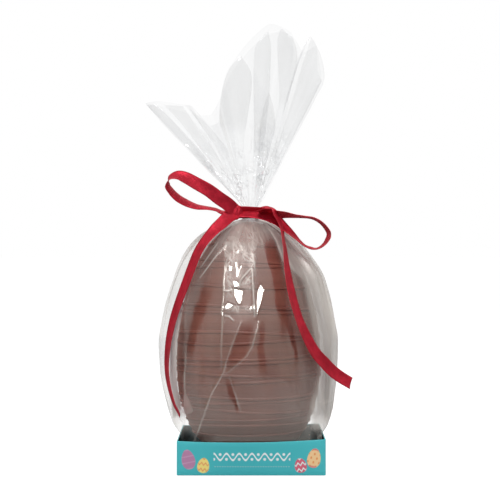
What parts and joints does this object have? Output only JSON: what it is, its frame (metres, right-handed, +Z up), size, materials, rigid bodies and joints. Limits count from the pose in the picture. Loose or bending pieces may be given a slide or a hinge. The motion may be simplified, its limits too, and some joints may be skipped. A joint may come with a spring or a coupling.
{
  "type": "chocolate egg",
  "caption": "Tall milk chocolate egg with drizzled threads, in a clear film bag tied with a red satin bow, standing in a low square card tray.",
  "frame": {"origin": "centre of the tray's underside, on the surface that the tray stands on", "axes": "+Z up along the egg's long axis, -Y out of the tray's printed front, +X to the right as seen from the front"},
  "size_m": [0.151, 0.116, 0.3253],
  "materials": {
    "tray_card": "satin printed card",
    "chocolate": "satin milk chocolate",
    "clear_film": "clear glossy film",
    "satin_ribbon": "satin weave"
  },
  "bodies": {
    "root": {"tray": "tray_card", "egg": "chocolate", "film_bag": "clear_film", "ribbon": "satin_ribbon"}
  },
  "joints": []
}
